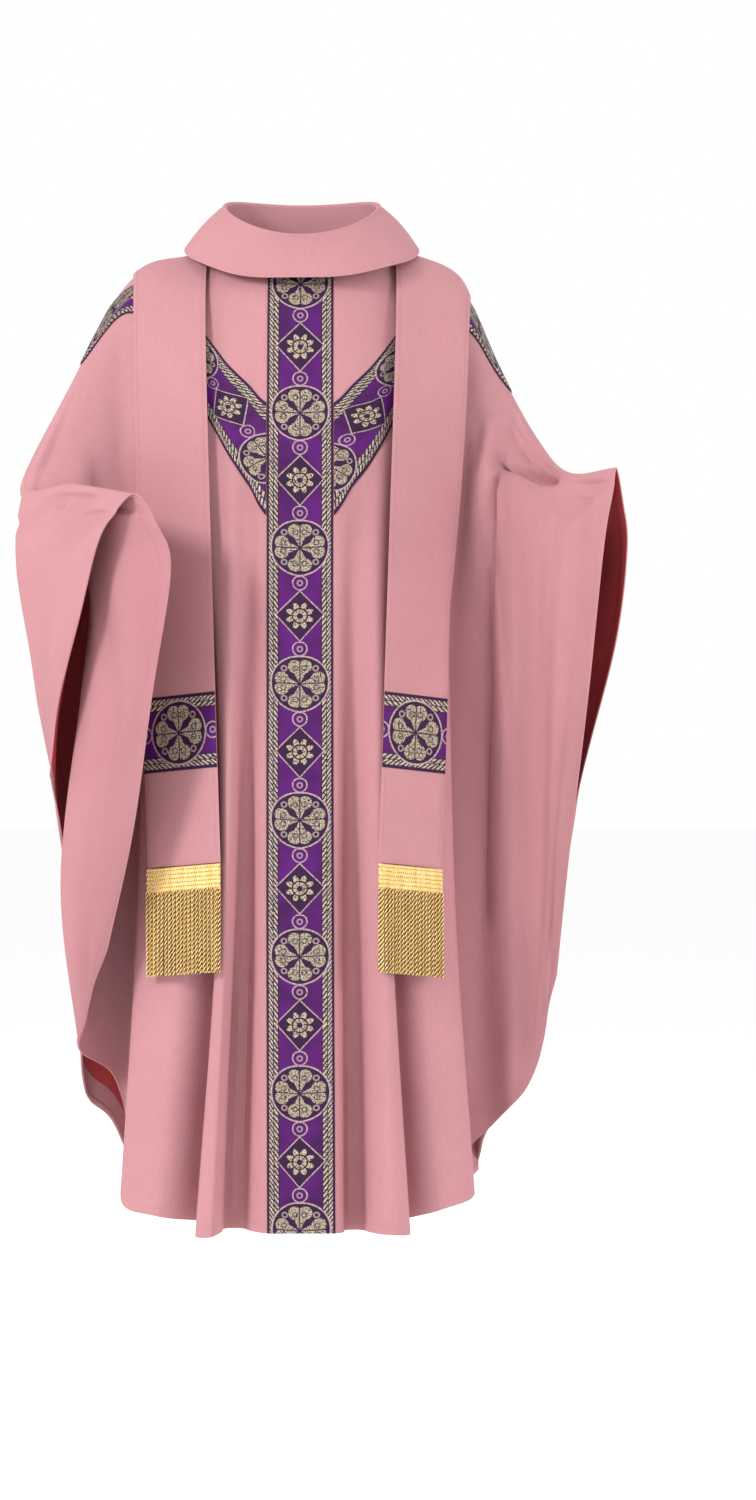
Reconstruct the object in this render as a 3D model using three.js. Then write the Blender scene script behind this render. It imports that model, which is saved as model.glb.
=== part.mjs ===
// A priest's chasuble, worn: full cloth with a centre orphrey and Y arms, a rolled collar,
// and a matching overlay stole with brocade bands and fringes.
// Millimetres, +Z up, the front faces -Y and the wearer's left is +X.
// The origin is the middle of the neck opening, at the height of the shoulders.
import * as THREE from 'three';
import { mergeVertices } from 'three/addons/utils/BufferGeometryUtils.js';

// Driving dimensions
const length = 1226; // shoulder height down to the front hem
const sleeveSpan = 392; // centre line out to the left wrist
const bodyDepth = 185; // centre line forward to the front hem
const clothThickness = 2.5;
const trimThickness = 1.2; // brocade galloon
const stoleThickness = 1.5; // stole cloth with its interlining
const liningThickness = 0.8;
const layerGap = 2.2; // clear space between two layers of cloth
const orphreyWidth = 82;
const stoleWidth = 93;
const stoleInnerEdge = 120; // centre line out to the stole at the shoulder
const stoleTaper = 22; // how far the stole's ends swing in towards the centre
const stoleHinge = -100; // height at which a stole front leaves the shoulder
const stoleEnd = -764; // height of the stole's lower edge
const bandTop = -552; // top of the brocade band across each stole front
const bandHeight = 94;
const headingHeight = 34; // woven heading of the fringe
const skirtHeight = 103; // hanging strands of the fringe
const fringeThickness = 5;
const collarRise = 24; // rim of the collar over the origin, at the front
const collarDrop = 34; // lower edge of the collar under the origin, at the front
const collarThickness = 2;
const fringeGap = 2.4; // room for the fringe to turn at the stole's edge
const seamShare = 0.012; // gap at a seam, as a share of one column
const ridgeShare = 0.1; // gap at the shoulder line, as a share of one station
const armRidge = 0.25; // the same along the arm, where the cloth turns down more sharply

// The hanging lines of the cloth at rest. Each row is one line from the neck or the shoulder
// down to the hem, as six points. Rows go from the centre line out to the sleeve edge.
const restDepth = 185;
const columnEdge = 43; // half the flat part of the cloth under an orphrey
const restOrphrey = 82;
const shoulderEdge = 214; // centre line out to where the sleeves start
const foreArm = 420; // how far down the arms hold the cloth
const restAcross = [0, columnEdge, 104, shoulderEdge, 392];
const restDown = [0, foreArm, 1226];
const frontLeftLines = [
  [[0, -88, -12], [0, -122, -80], [0, -150, -250], [0, -163, -510], [0, -173, -850], [0, -185, -1226]],
  [[43, -82, -10], [43, -119, -78], [43, -148, -250], [43, -161, -510], [44, -171, -850], [46, -183, -1226]],
  [[72, -69, -4], [68, -110, -75], [66, -143, -250], [64, -150, -510], [64, -150, -850], [66, -152, -1226]],
  [[92, -54, 2], [92, -99, -72], [92, -140, -250], [94, -168, -510], [100, -186, -850], [108, -202, -1226]],
  [[104, -38, 6], [110, -86, -70], [112, -131, -250], [112, -158, -510], [117, -170, -850], [142, -180, -1227]],
  [[114, -8, 8], [130, -76, -68], [130, -122, -250], [120, -143, -510], [112, -140, -850], [128, -140, -1215]],
  [[150, -8, 2], [154, -66, -66], [152, -110, -250], [150, -134, -510], [152, -143, -850], [178, -150, -1200]],
  [[192, -6, -16], [186, -52, -70], [178, -92, -258], [190, -110, -510], [199, -112, -850], [222, -118, -1184]],
  [[214, -4, -48], [214, -38, -100], [206, -56, -262], [188, -62, -510], [186, -55, -850], [200, -50, -1150]],
  [[255, -6, -141], [250, -46, -185], [236, -84, -290], [234, -75, -510], [230, -62, -850], [246, -60, -1096]],
  [[300, -28, -226], [292, -78, -262], [284, -118, -330], [290, -105, -540], [290, -90, -830], [284, -84, -1052]],
  [[338, -112, -276], [333, -146, -300], [331, -168, -370], [324, -152, -570], [313, -120, -790], [307, -98, -985]],
  [[392, -222, -276], [386, -222, -310], [376, -212, -375], [358, -190, -555], [338, -140, -745], [323, -106, -908]],
];
const frontRightLines = [
  [[0, -88, -12], [0, -122, -80], [0, -150, -250], [0, -163, -510], [0, -173, -850], [0, -185, -1226]],
  [[-43, -82, -10], [-43, -119, -78], [-43, -148, -250], [-43, -161, -510], [-43, -171, -850], [-42, -183, -1226]],
  [[-72, -69, -4], [-68, -110, -75], [-65, -143, -250], [-66, -150, -510], [-68, -151, -850], [-80, -154, -1224]],
  [[-92, -54, 2], [-92, -99, -72], [-90, -140, -250], [-86, -166, -510], [-90, -185, -850], [-106, -200, -1229]],
  [[-104, -38, 6], [-110, -86, -70], [-112, -131, -250], [-106, -158, -510], [-105, -168, -850], [-131, -178, -1230]],
  [[-114, -8, 8], [-130, -76, -68], [-130, -124, -250], [-116, -146, -510], [-99, -141, -850], [-118, -138, -1218]],
  [[-150, -8, 2], [-155, -66, -66], [-152, -116, -250], [-152, -140, -510], [-150, -146, -850], [-180, -150, -1208]],
  [[-196, -6, -8], [-196, -52, -62], [-192, -95, -255], [-196, -106, -510], [-208, -108, -850], [-230, -112, -1192]],
  [[-236, -4, -44], [-234, -40, -96], [-226, -60, -250], [-212, -60, -510], [-206, -52, -850], [-222, -44, -1120]],
  [[-292, -8, -150], [-282, -42, -200], [-256, -66, -320], [-240, -56, -560], [-240, -46, -820], [-238, -42, -1040]],
  [[-352, -34, -285], [-318, -72, -305], [-268, -98, -400], [-272, -90, -560], [-298, -76, -790], [-276, -90, -1004]],
  [[-285, -150, -292], [-262, -158, -335], [-234, -166, -415], [-224, -170, -570], [-250, -130, -775], [-263, -114, -958]],
  [[-200, -255, -310], [-172, -256, -350], [-157, -250, -405], [-180, -235, -555], [-206, -194, -725], [-240, -148, -872]],
];
const backLeftLines = [
  [[0, 72, 28], [0, 118, -45], [0, 150, -220], [0, 158, -510], [0, 170, -850], [0, 184, -1222]],
  [[43, 66, 26], [43, 114, -45], [43, 149, -220], [43, 157, -510], [43, 169, -850], [44, 183, -1222]],
  [[72, 53, 22], [74, 104, -44], [74, 146, -220], [73, 148, -510], [73, 148, -850], [76, 150, -1222]],
  [[92, 38, 18], [98, 92, -44], [102, 139, -220], [106, 160, -510], [112, 178, -850], [122, 198, -1218]],
  [[104, 22, 14], [120, 78, -46], [128, 128, -220], [136, 146, -510], [146, 150, -850], [160, 152, -1208]],
  [[114, -8, 8], [140, 62, -50], [152, 116, -222], [166, 140, -512], [180, 134, -850], [196, 126, -1194]],
  [[150, -8, 2], [168, 46, -58], [178, 104, -226], [195, 142, -515], [212, 156, -850], [230, 160, -1172]],
  [[192, -6, -16], [200, 34, -76], [206, 90, -235], [222, 118, -518], [232, 118, -850], [238, 112, -1128]],
  [[214, -4, -48], [222, 28, -110], [236, 78, -262], [252, 100, -525], [262, 98, -845], [258, 94, -1092]],
  [[255, -6, -141], [262, 22, -190], [276, 58, -300], [292, 76, -545], [294, 72, -835], [276, 66, -1050]],
  [[300, -28, -226], [312, 0, -270], [325, 28, -355], [335, 40, -560], [320, 46, -805], [294, 48, -990]],
  [[338, -112, -276], [356, -88, -320], [372, -56, -390], [370, -14, -555], [346, 16, -750], [312, 30, -905]],
  [[392, -222, -276], [402, -200, -318], [409, -165, -375], [398, -100, -490], [362, -42, -640], [328, 2, -790]],
];
const backRightLines = [
  [[0, 72, 28], [0, 118, -45], [0, 150, -220], [0, 158, -510], [0, 170, -850], [0, 184, -1222]],
  [[-43, 66, 26], [-43, 114, -45], [-43, 149, -220], [-43, 157, -510], [-43, 169, -850], [-44, 183, -1222]],
  [[-72, 53, 22], [-74, 104, -44], [-74, 146, -220], [-73, 148, -510], [-73, 148, -850], [-76, 150, -1222]],
  [[-92, 38, 18], [-98, 92, -44], [-102, 139, -220], [-106, 160, -510], [-112, 178, -850], [-122, 198, -1216]],
  [[-104, 22, 14], [-120, 78, -46], [-128, 128, -220], [-136, 146, -510], [-146, 150, -850], [-160, 152, -1204]],
  [[-114, -8, 8], [-140, 62, -50], [-152, 116, -222], [-166, 140, -512], [-180, 134, -850], [-196, 126, -1186]],
  [[-150, -8, 2], [-168, 46, -58], [-180, 104, -226], [-196, 142, -515], [-214, 150, -850], [-232, 146, -1158]],
  [[-196, -6, -8], [-206, 34, -70], [-214, 92, -235], [-230, 120, -518], [-246, 112, -850], [-256, 108, -1104]],
  [[-236, -4, -44], [-244, 28, -100], [-258, 80, -256], [-270, 98, -525], [-272, 88, -835], [-278, 84, -1080]],
  [[-292, -8, -150], [-304, 18, -205], [-320, 48, -330], [-318, 64, -560], [-300, 62, -820], [-286, 60, -1048]],
  [[-352, -34, -285], [-370, -22, -325], [-374, -8, -395], [-348, 6, -545], [-316, 20, -715], [-292, 40, -945]],
  [[-285, -150, -292], [-304, -134, -335], [-318, -112, -400], [-326, -72, -525], [-322, -38, -645], [-303, -6, -790]],
  [[-200, -255, -310], [-230, -240, -336], [-250, -224, -372], [-273, -185, -454], [-304, -128, -562], [-318, -84, -655]],
];
const lastLine = frontLeftLines.length - 1;
const lastStation = frontLeftLines[0].length - 1;
const mix = THREE.MathUtils.lerp;

// A driving size moves only its own part of the cloth: the orphrey widens the flat part in the
// middle, the sleeve span the cloth past the shoulders, and the length the cloth below the arms
const builtAcross = [0, (columnEdge * orphreyWidth) / restOrphrey, 104, shoulderEdge, sleeveSpan];
const builtDown = [0, foreArm, length];
const sleeveShare = (sleeveSpan - shoulderEdge) / (restAcross[4] - shoulderEdge);
const armRidgeShare = armRidge / Math.min(sleeveShare, 1); // a short sleeve turns down more sharply still
function resize(distance, rest, built) {
  const reach = Math.abs(distance);
  let i = 1;
  while (i < rest.length - 1 && reach > rest[i]) i += 1;
  const share = (reach - rest[i - 1]) / (rest[i] - rest[i - 1]);
  return Math.sign(distance) * mix(built[i - 1], built[i], share);
}
function builtPoint([x, y, z]) {
  const depth = (y * bodyDepth) / restDepth;
  return new THREE.Vector3(resize(x, restAcross, builtAcross), depth, resize(z, restDown, builtDown));
}

const neckLine = 5; // the line at the side of the neck, where the shoulder starts
const sleeveLine = 8; // the line where the body cloth becomes the sleeve

// A surface through the hanging lines: s runs across them, t runs down them. A line that
// starts on the shoulder runs on into the line behind it, so the cloth rolls over the shoulder.
class Drape {
  constructor(lines, behind, outward) {
    this.outward = outward; // +1 on the back, -1 on the front
    this.side = Math.sign(lines[lastLine][0][0]);
    this.columns = lines.map((line, i) => {
      const joined = i < neckLine ? line : [...behind[i].slice(1).reverse(), ...line];
      const curve = new THREE.CatmullRomCurve3(joined.map(builtPoint), false, 'catmullrom');
      const start = (joined.length - line.length) / (joined.length - 1);
      return (share) => curve.getPoint(THREE.MathUtils.lerp(start, 1, share));
    });
    this.rows = new Map();
  }

  point(s, t) {
    const key = t.toFixed(5);
    if (!this.rows.has(key)) {
      const share = THREE.MathUtils.clamp(t / lastStation, 0, 1);
      const across = this.columns.map((column) => column(share));
      this.rows.set(key, new THREE.CatmullRomCurve3(across, false, 'catmullrom'));
    }
    return this.rows.get(key).getPoint(THREE.MathUtils.clamp(s / lastLine, 0, 1));
  }

  normal(s, t) {
    const step = 0.03;
    const across = this.point(s + step, t).sub(this.point(s - step, t));
    const down = this.point(s, t + step).sub(this.point(s, Math.max(t - step, 0)));
    return across.cross(down).multiplyScalar(this.side * this.outward).normalize();
  }

  // The height on one line is turned into a station
  stationAt(s, height) {
    let low = 0;
    let high = lastStation;
    for (let i = 0; i < 30; i += 1) {
      const middle = (low + high) / 2;
      if (this.point(s, middle).z > height) low = middle;
      else high = middle;
    }
    return low;
  }
}

const frontLeft = new Drape(frontLeftLines, backLeftLines, -1);
const frontRight = new Drape(frontRightLines, backRightLines, -1);
const backLeft = new Drape(backLeftLines, frontLeftLines, 1);
const backRight = new Drape(backRightLines, frontRightLines, 1);

function material(color, roughness, metalness = 0) {
  return new THREE.MeshStandardMaterial({ color, roughness, metalness });
}
const rose = material('#d99a9c', 0.85);
const roseInside = material('#c98486', 0.9);
const brocade = material('#5a1a86', 0.6);
const gold = material('#c9a44c', 0.45, 0.3);
const interlining = material('#e8e2d8', 0.95);

const garment = new THREE.Group();

function meshVolume(geometry) {
  const p = geometry.attributes.position;
  const index = geometry.index.array;
  const a = new THREE.Vector3();
  const b = new THREE.Vector3();
  const c = new THREE.Vector3();
  let sum = 0;
  for (let i = 0; i < index.length; i += 3) {
    a.fromBufferAttribute(p, index[i]);
    b.fromBufferAttribute(p, index[i + 1]);
    c.fromBufferAttribute(p, index[i + 2]);
    sum += a.dot(b.cross(c));
  }
  return sum;
}

// Adds one closed body whose faces point outwards
function addPiece(name, geometry, finish) {
  geometry.deleteAttribute('normal');
  geometry.deleteAttribute('uv');
  const closed = mergeVertices(geometry, 1e-4);
  if (meshVolume(closed) < 0) {
    const index = closed.index.array;
    for (let i = 0; i < index.length; i += 3) [index[i], index[i + 1]] = [index[i + 1], index[i]];
  }
  closed.computeVertexNormals();
  const mesh = new THREE.Mesh(closed, finish);
  mesh.name = name;
  garment.add(mesh);
}

// A slab bent over a surface: place(u, v) gives a point and the direction that is outward there
function addSheet(name, place, size, layer, finish) {
  const geometry = new THREE.BoxGeometry(1, 1, 1, size[0], size[1], 1);
  const p = geometry.attributes.position;
  for (let i = 0; i < p.count; i += 1) {
    const { point, normal } = place(p.getX(i) + 0.5, 0.5 - p.getY(i));
    const lift = p.getZ(i) > 0 ? layer.top : layer.bottom;
    point.addScaledVector(normal, lift);
    p.setXYZ(i, point.x, point.y, point.z);
  }
  addPiece(name, geometry, finish);
}

// How far each layer lies from the outside of the body cloth
function layer(bottom, thickness) {
  return { bottom, top: bottom + thickness };
}
const bodyLayer = layer(-clothThickness, clothThickness);
const trimLayer = layer(layerGap, trimThickness);
const liningLayer = layer(trimLayer.top + layerGap, liningThickness);
const stoleLayer = layer(liningLayer.top + 0.4, stoleThickness);
const bandLayer = layer(stoleLayer.top + 0.4, trimThickness);

function onDrape(drape, s, t) {
  return { point: drape.point(s, t), normal: drape.normal(s, t) };
}

// Body cloth: two front panels, two back panels and the four halves of the sleeves
function addCloth(name, drape, from, to, size, top) {
  const place = (u, v) => onDrape(drape, mix(from, to, u), mix(top, lastStation, v));
  addSheet(name, place, size, bodyLayer, rose);
}
const panelSize = [20, 15];
const backPanelSize = [16, 13];
const sleeveSize = [8, 14];
addCloth('front_panel_left', frontLeft, seamShare, sleeveLine - seamShare, panelSize, ridgeShare);
addCloth('front_panel_right', frontRight, seamShare, sleeveLine - seamShare, panelSize, ridgeShare);
addCloth('back_panel_left', backLeft, seamShare, sleeveLine - seamShare, backPanelSize, ridgeShare);
addCloth('back_panel_right', backRight, seamShare, sleeveLine - seamShare, backPanelSize, ridgeShare);
addCloth('front_sleeve_left', frontLeft, sleeveLine + seamShare, lastLine, sleeveSize, armRidgeShare);
addCloth('front_sleeve_right', frontRight, sleeveLine + seamShare, lastLine, sleeveSize, armRidgeShare);
addCloth('back_sleeve_left', backLeft, sleeveLine + seamShare, lastLine, sleeveSize, armRidgeShare);
addCloth('back_sleeve_right', backRight, sleeveLine + seamShare, lastLine, sleeveSize, armRidgeShare);

// Centre orphreys, front and back, each across both panels
const orphreyLine = orphreyWidth / 2 / builtAcross[1];
function addColumn(name, left, right) {
  const place = (u, v) => {
    const s = mix(-orphreyLine, orphreyLine, u);
    return onDrape(s < 0 ? right : left, Math.abs(s), mix(ridgeShare, lastStation, v));
  };
  addSheet(name, place, [4, panelSize[1]], trimLayer, brocade);
}
addColumn('front_orphrey', frontLeft, frontRight);
addColumn('back_orphrey', backLeft, backRight);

// Y arms: each band leaves the column, curves up and crosses the shoulder line onto the sleeve
const armGap = 0.03;
const frontArm = [-190, -332]; // where the edges of a front arm leave the column
const backArm = [-150, -292];
const leftCrossing = [8.15, 9.3]; // lines between which the left arm crosses the shoulder
const rightCrossing = [8.12, 8.85];
function armPlace(drape, ends, crossing, across, along) {
  const inner = orphreyLine + armGap;
  const outer = mix(crossing[0], crossing[1], across);
  const station = mix(drape.stationAt(inner, ends[0]), drape.stationAt(inner, ends[1]), across);
  const cut = (s) => Math.asin(Math.sqrt((s - inner) / (outer - inner)));
  const turn = along(cut);
  const s = inner + (outer - inner) * Math.sin(turn) ** 2;
  return onDrape(drape, s, Math.max(station * Math.cos(turn), ridgeShare));
}
function addArm(name, drape, ends, crossing) {
  const place = (u, v) => armPlace(drape, ends, crossing, v, (cut) => u * cut(sleeveLine - seamShare * 2));
  addSheet(name, place, [16, 6], trimLayer, brocade);
}
function addShoulderArm(name, front, back, crossing) {
  const along = (u) => (cut) => mix(cut(sleeveLine + seamShare * 2), Math.PI / 2, u);
  const place = (u, v) => {
    if (u < 0.5) return armPlace(front, frontArm, crossing, v, along(u * 2));
    return armPlace(back, backArm, crossing, v, along(2 - u * 2));
  };
  addSheet(name, place, [6, 4], trimLayer, brocade);
}
addArm('front_arm_left', frontLeft, frontArm, leftCrossing);
addArm('front_arm_right', frontRight, frontArm, rightCrossing);
addArm('back_arm_left', backLeft, backArm, leftCrossing);
addArm('back_arm_right', backRight, backArm, rightCrossing);
addShoulderArm('shoulder_arm_left', frontLeft, backLeft, leftCrossing);
addShoulderArm('shoulder_arm_right', frontRight, backRight, rightCrossing);

// Stole, part that stays on the shoulders: up from the hinge, over the shoulder line, and
// round behind the neck to the centre back seam
const ridgePart = 1 / 3; // share of the band that lies in front of the shoulder line
const backStole = [0.2, 1.25]; // stations of its two edges at the centre back
const stoleGap = 0.8;
function lineAt(drape, distance) {
  let low = 4;
  let high = lastLine;
  for (let i = 0; i < 30; i += 1) {
    const middle = (low + high) / 2;
    if (Math.abs(drape.point(middle, 0).x) < distance) low = middle;
    else high = middle;
  }
  return low;
}
function addStoleNeck(name, front, back) {
  const place = (u, v) => {
    const line = lineAt(front, stoleInnerEdge + stoleWidth * v);
    if (u < ridgePart) {
      const bottom = front.stationAt(line, stoleHinge + stoleGap);
      return onDrape(front, line, mix(bottom, ridgeShare, u / ridgePart));
    }
    const turn = ((u - ridgePart) / (1 - ridgePart)) * Math.PI / 2;
    const station = mix(backStole[0], backStole[1], v) * Math.sin(turn);
    const s = Math.max(line * Math.cos(turn), seamShare);
    return onDrape(back, s, Math.max(station, ridgeShare));
  };
  addSheet(name, place, [16, 6], stoleLayer, rose);
}
addStoleNeck('stole_neck_left', frontLeft, backLeft);
addStoleNeck('stole_neck_right', frontRight, backRight);

// Stole fronts and fringes hang straight down, just clear of the cloth behind them
const stoleColumns = 4;
const stoleRows = 16;
const fringeRows = 4;
const fringeEnd = stoleEnd - headingHeight - skirtHeight;
const stoleClearance = 4;
const hangingLevels = [];
for (let i = 0; i <= stoleRows; i += 1) hangingLevels.push(mix(stoleHinge - stoleGap, stoleEnd, i / stoleRows));
for (let i = 1; i <= fringeRows; i += 1) hangingLevels.push(mix(stoleEnd, fringeEnd, i / fringeRows));
class Hanging {
  constructor(side, turn) {
    this.side = side;
    this.turn = turn; // how far the panel turns away from the viewer lower down
    const behind = garment.children.filter((mesh) => /^front_(panel|arm|orphrey)/.test(mesh.name));
    this.depth = [];
    const ray = new THREE.Raycaster();
    const forward = new THREE.Vector3(0, 1, 0);
    const reach = 10;
    for (const z of hangingLevels) {
      const row = [];
      for (let column = 0; column <= stoleColumns; column += 1) {
        const x = this.across(column / stoleColumns, z);
        let nearest = Infinity;
        for (const [dx, dz] of [[0, 0], [reach, 0], [-reach, 0], [0, reach * 2], [0, -reach * 2]]) {
          ray.set(new THREE.Vector3(x + dx, -4 * bodyDepth, z + dz), forward);
          for (const hit of ray.intersectObjects(behind, false)) nearest = Math.min(nearest, hit.point.y);
        }
        row.push(nearest - stoleClearance);
      }
      this.depth.push(row);
    }
    this.settle();
  }

  // The lined band is stiff across, so each level is straight and rests on the crests of the cloth
  settle() {
    const ends = this.depth.map((row) => {
      const slope = (row[stoleColumns] - row[0]) / stoleColumns;
      const nearest = Math.min(...row.map((y, column) => y - slope * column));
      return [nearest, nearest + slope * stoleColumns];
    });
    const passes = 30;
    for (let pass = 0; pass < passes; pass += 1) {
      for (let r = 1; r < ends.length - 1; r += 1) {
        for (const k of [0, 1]) ends[r][k] = Math.min(ends[r][k], (ends[r - 1][k] + ends[r + 1][k]) / 2);
      }
    }
    this.depth = ends.map(([first, last]) => this.depth[0].map((_, c) => mix(first, last, c / stoleColumns)));
  }

  across(u, z) {
    const drop = (stoleHinge - z) / (stoleHinge - stoleEnd);
    const inner = stoleInnerEdge - stoleTaper * Math.min(drop, 1);
    const turned = Math.cos(this.turn * Math.min(drop * 2, 1));
    return this.side * (inner + stoleWidth * turned * u);
  }

  pointAt(u, z) {
    let r = 0;
    while (r < hangingLevels.length - 2 && hangingLevels[r + 1] > z) r += 1;
    const row = (hangingLevels[r] - z) / (hangingLevels[r] - hangingLevels[r + 1]);
    const column = u * stoleColumns;
    const c = Math.min(Math.floor(column), stoleColumns - 1);
    const upper = mix(this.depth[r][c], this.depth[r][c + 1], column - c);
    const lower = mix(this.depth[r + 1][c], this.depth[r + 1][c + 1], column - c);
    return new THREE.Vector3(this.across(u, z), mix(upper, lower, row), z);
  }

  place(u, z) {
    const step = 0.25;
    const drop = 60;
    const across = this.pointAt(Math.min(u + step, 1), z).sub(this.pointAt(Math.max(u - step, 0), z));
    const down = this.pointAt(u, z - drop).sub(this.pointAt(u, z + drop));
    return { point: this.pointAt(u, z), normal: across.cross(down).multiplyScalar(-this.side).normalize() };
  }
}
const sewnGap = 1.8;
const stoleFace = layer(liningThickness + sewnGap, stoleThickness);
const bandFace = layer(stoleFace.top + sewnGap, trimThickness);
function addStoleFront(side, sideName, turn) {
  const hanging = new Hanging(side, turn);
  const between = (top, bottom) => (u, v) => hanging.place(u, mix(top, bottom, v));
  const top = stoleHinge - stoleGap;
  const grid = [stoleColumns, stoleRows];
  addSheet(`stole_front_${sideName}`, between(top, stoleEnd), grid, stoleFace, rose);
  addSheet(`stole_lining_${sideName}`, between(top, stoleEnd), grid, layer(0, liningThickness), roseInside);
  addSheet(`stole_band_${sideName}`, between(bandTop, bandTop - bandHeight), [stoleColumns, 4], bandFace, brocade);
  const heading = stoleEnd - fringeGap;
  const skirt = stoleEnd - headingHeight;
  addSheet(`fringe_heading_${sideName}`, between(heading, skirt), [4, 2], layer(0, fringeThickness), gold);
  addSheet(`fringe_skirt_${sideName}`, between(skirt - stoleGap, fringeEnd), [4, 4],
    layer(0, fringeThickness), gold);
}
addStoleFront(1, 'left', 0.56);
addStoleFront(-1, 'right', 0);

// Rolled collar: rings round the neck, of which the rim dips at the front
const neckSeam = { wide: 112, deep: 80, front: -12, side: 26, back: 28 };
const rim = { wide: 98, deep: 84, front: collarRise, side: collarRise + 46, back: collarRise + 56 };
const edge = { wide: 147, deep: 112, front: -collarDrop, side: 14, back: 34 };
const neckCentre = -8;
function ringPoint(ring, angle) {
  const swing = (1 - Math.cos(angle)) / 2;
  const middle = (ring.front + ring.back) / 2;
  const height = mix(ring.front, ring.back, swing) + (ring.side - middle) * Math.sin(angle) ** 2;
  return new THREE.Vector3(ring.wide * Math.sin(angle), neckCentre - ring.deep * Math.cos(angle), height);
}
function addCollarPiece(name, lower, upper, from, to, lift, thickness, bulge, finish) {
  const rise = 4;
  const around = 28;
  const profile = [];
  for (let i = 0; i <= rise; i += 1) profile.push(new THREE.Vector2(2, i / rise));
  for (let i = rise; i >= 0; i -= 1) profile.push(new THREE.Vector2(1, i / rise));
  profile.push(profile[0].clone());
  const geometry = new THREE.LatheGeometry(profile, around);
  const p = geometry.attributes.position;
  for (let i = 0; i < p.count; i += 1) {
    const angle = Math.atan2(p.getX(i), p.getZ(i));
    const out = Math.hypot(p.getX(i), p.getZ(i)) - 1;
    const share = mix(from, to, p.getY(i));
    const point = ringPoint(lower, angle).lerp(ringPoint(upper, angle), share);
    const outward = new THREE.Vector3(Math.sin(angle), -Math.cos(angle), 0.3).normalize();
    point.addScaledVector(outward, lift + out * thickness + bulge * Math.sin(share * Math.PI));
    p.setXYZ(i, point.x, point.y, point.z);
  }
  addPiece(name, geometry, finish);
}
const collarTop = 0.96;
const foldClear = 1;
addCollarPiece('collar_stand', neckSeam, rim, 0.1, collarTop, -2 * collarThickness, collarThickness, 0, rose);
addCollarPiece('collar_fall', edge, rim, 0, 1, collarThickness, collarThickness, 4, rose);
addCollarPiece('collar_interfacing', edge, rim, 0.08, collarTop, foldClear - liningThickness / 2,
  liningThickness, 3.6, interlining);

export default garment;
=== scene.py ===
import math

import bpy
import numpy as np
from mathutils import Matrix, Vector
from mathutils.bvhtree import BVHTree


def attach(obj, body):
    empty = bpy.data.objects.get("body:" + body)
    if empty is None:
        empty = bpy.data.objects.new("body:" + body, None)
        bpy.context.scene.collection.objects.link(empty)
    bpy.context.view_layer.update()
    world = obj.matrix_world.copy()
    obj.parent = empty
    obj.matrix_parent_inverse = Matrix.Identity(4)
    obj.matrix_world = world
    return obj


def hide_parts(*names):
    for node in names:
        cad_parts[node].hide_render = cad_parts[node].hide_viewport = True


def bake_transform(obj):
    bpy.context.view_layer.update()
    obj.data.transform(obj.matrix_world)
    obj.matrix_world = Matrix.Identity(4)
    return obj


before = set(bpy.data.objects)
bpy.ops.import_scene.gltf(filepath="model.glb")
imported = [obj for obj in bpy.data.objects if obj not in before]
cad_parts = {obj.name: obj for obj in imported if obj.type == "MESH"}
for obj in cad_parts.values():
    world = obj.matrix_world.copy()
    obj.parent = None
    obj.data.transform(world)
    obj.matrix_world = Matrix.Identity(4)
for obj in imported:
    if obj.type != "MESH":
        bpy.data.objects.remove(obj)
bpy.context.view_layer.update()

# A worn chasuble: rose cloth, brocade column and Y arms, rolled collar, fringed overlay stole.
# Metres, +Z up, the front faces -Y and the wearer's left is +X.

cameraView = {
    "place": (0.0975, -6.0, -0.625),
    "lens": 112.3,
    "floorHeight": -1.494,
    "floorSize": 90,
    "floorTone": (0.97, 0.97, 0.97, 1),
    "skyTone": (1.0, 1.0, 1.0, 1),
    "skyStrength": 1.0,
}
lampRows = [  # name, place, size, watts
    ("keyLamp", (-3.6, -3.0, 1.8), 1.2, 190),
    ("fillLamp", (3.8, -2.4, 0.4), 1.4, 75),
    ("backLamp", (0.6, 4.0, 2.4), 3.0, 60),
]


def setStudio():
    scene = bpy.context.scene
    lens = bpy.data.cameras.new("studioCamera")
    lens.lens = cameraView["lens"]
    lens.clip_end = 60
    eye = bpy.data.objects.new("studioCamera", lens)
    eye.location = cameraView["place"]
    eye.rotation_euler = (math.pi / 2, 0, 0)
    scene.collection.objects.link(eye)
    scene.camera = eye
    scene.view_settings.view_transform = "Standard"
    world = bpy.data.worlds.new("studioSky")
    world.use_nodes = True
    sky = world.node_tree.nodes["Background"]
    sky.inputs["Color"].default_value = cameraView["skyTone"]
    sky.inputs["Strength"].default_value = cameraView["skyStrength"]
    scene.world = world
    for name, place, size, watts in lampRows:
        lamp = bpy.data.lights.new(name, "AREA")
        lamp.size = size
        lamp.energy = watts
        stand = bpy.data.objects.new(name, lamp)
        stand.location = place
        aim = Vector((0, 0, -0.6)) - Vector(place)
        stand.rotation_euler = aim.to_track_quat("-Z", "Y").to_euler()
        scene.collection.objects.link(stand)
    half = cameraView["floorSize"] / 2
    level = cameraView["floorHeight"]
    sheet = bpy.data.meshes.new("studioFloor")
    corners = [(-half, -half, level), (half, -half, level), (half, half, level), (-half, half, level)]
    sheet.from_pydata(corners, [], [(0, 1, 2, 3)])
    floor = bpy.data.objects.new("studioFloor", sheet)
    scene.collection.objects.link(floor)
    paint = Finish("studioFloor")
    paint.surface({"Base Color": cameraView["floorTone"], "Roughness": 0.9})
    sheet.materials.append(paint.material)
    print("studio set")


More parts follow.
